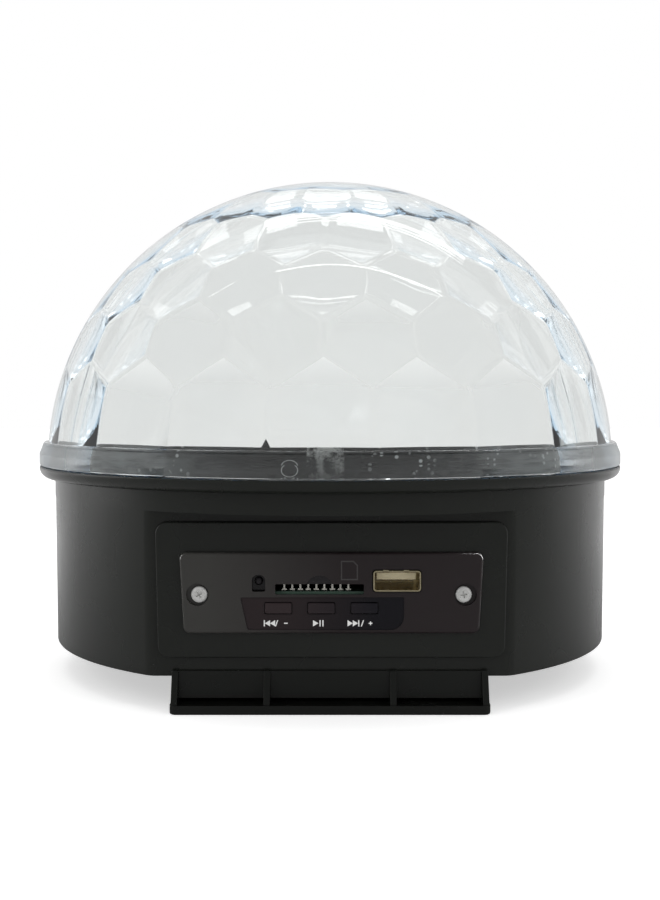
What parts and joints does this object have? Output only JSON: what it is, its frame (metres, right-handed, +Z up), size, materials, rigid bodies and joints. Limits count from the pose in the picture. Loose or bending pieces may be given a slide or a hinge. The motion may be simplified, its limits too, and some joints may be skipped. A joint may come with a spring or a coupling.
{
  "type": "led disco ball light",
  "caption": "Table-top disco light: a clear dome with inner facets on a round black housing with a music panel, on a low foot.",
  "frame": {"origin": "middle of the foot's underside, on the surface that the light stands on, under the dome's axis", "axes": "+Z up along the dome's axis; the flat front with the music panel faces -Y; +X is to the right seen from the front"},
  "size_m": [0.19, 0.19, 0.1577],
  "materials": {
    "clear_plastic": "clear moulded plastic, glossy, faceted inside",
    "housing_black": "black moulded plastic with a satin surface",
    "deck_black": "black moulded plastic, smooth",
    "board_white": "white solder resist on an aluminium board",
    "emitter_red": "red epoxy lamp",
    "emitter_green": "green epoxy lamp",
    "emitter_blue": "blue epoxy lamp",
    "emitter_amber": "amber epoxy lamp",
    "emitter_pink": "pink epoxy lamp",
    "emitter_white": "white epoxy lamp",
    "zinc_steel": "zinc-plated steel, satin",
    "black_screw": "black oxide steel",
    "panel_black": "dark smooth plastic panel, slightly glossy",
    "button_black": "black plastic, glossy",
    "insulator_white": "off-white connector plastic",
    "board_green": "green solder resist on glass epoxy",
    "gold_plate": "gold flash plating, bright",
    "speaker_paper": "dark paper cone"
  },
  "bodies": {
    "base": {"dome": "clear_plastic", "led_lens_1": "clear_plastic", "led_lens_2": "clear_plastic", "led_lens_3": "clear_plastic", "led_lens_4": "clear_plastic", "led_lens_5": "clear_plastic", "led_lens_6": "clear_plastic", "housing": "housing_black", "bottom_cover": "housing_black", "stand": "housing_black", "dc_jack": "housing_black", "switch_frame": "housing_black", "led_deck": "deck_black", "dome_collar": "deck_black", "led_board": "board_white", "led_emitter_1": "emitter_red", "led_emitter_2": "emitter_green", "led_emitter_3": "emitter_blue", "led_emitter_4": "emitter_amber", "led_emitter_5": "emitter_pink", "led_emitter_6": "emitter_white", "motor": "zinc_steel", "motor_screw_1": "zinc_steel", "motor_screw_2": "zinc_steel", "panel_screw_left": "zinc_steel", "panel_screw_right": "zinc_steel", "cover_screw_1": "zinc_steel", "cover_screw_2": "zinc_steel", "cover_screw_3": "zinc_steel", "cover_screw_4": "zinc_steel", "stand_screw_front": "zinc_steel", "stand_screw_rear": "zinc_steel", "card_socket": "zinc_steel", "speaker_basket_left": "zinc_steel", "speaker_basket_right": "zinc_steel", "side_screw_left": "black_screw", "side_screw_right": "black_screw", "control_plate": "panel_black", "ir_receiver": "button_black", "tact_switch_previous": "button_black", "tact_switch_play_pause": "button_black", "tact_switch_next": "button_black", "filter_capacitor": "button_black", "usb_tongue": "insulator_white", "control_board": "board_green", "power_board": "board_green", "usb_shell": "gold_plate", "card_contacts": "gold_plate", "dc_jack_pin": "gold_plate", "speaker_cone_left": "speaker_paper", "speaker_cone_right": "speaker_paper"},
    "button_previous": {"button_previous": "button_black", "tact_plunger_previous": "insulator_white"},
    "button_play_pause": {"button_play_pause": "button_black", "tact_plunger_play_pause": "insulator_white"},
    "button_next": {"button_next": "button_black", "tact_plunger_next": "insulator_white"},
    "rotor": {"rotor_disc": "clear_plastic", "motor_shaft": "zinc_steel"},
    "power_rocker": {"switch_rocker": "button_black"}
  },
  "joints": [
    {"name": "rotor_spin", "type": "hinge", "parent": "base", "child": "rotor", "pos_m": [0, 0, 0.0615], "axis": [0, 0, 1], "continuous": true},
    {"name": "button_previous_press", "type": "slide", "parent": "base", "child": "button_previous", "axis": [0, 1, 0], "range_m": [0, 0.0005], "stiffness_N_per_m": 400, "springref_m": -0.0005},
    {"name": "button_play_pause_press", "type": "slide", "parent": "base", "child": "button_play_pause", "axis": [0, 1, 0], "range_m": [0, 0.0005], "stiffness_N_per_m": 400, "springref_m": -0.0005},
    {"name": "button_next_press", "type": "slide", "parent": "base", "child": "button_next", "axis": [0, 1, 0], "range_m": [0, 0.0005], "stiffness_N_per_m": 400, "springref_m": -0.0005},
    {"name": "power_rocker_tip", "type": "hinge", "parent": "base", "child": "power_rocker", "pos_m": [-0.02324, 0.08674, 0.034], "axis": [0, 0, 1], "range_deg": [0, 20]}
  ]
}
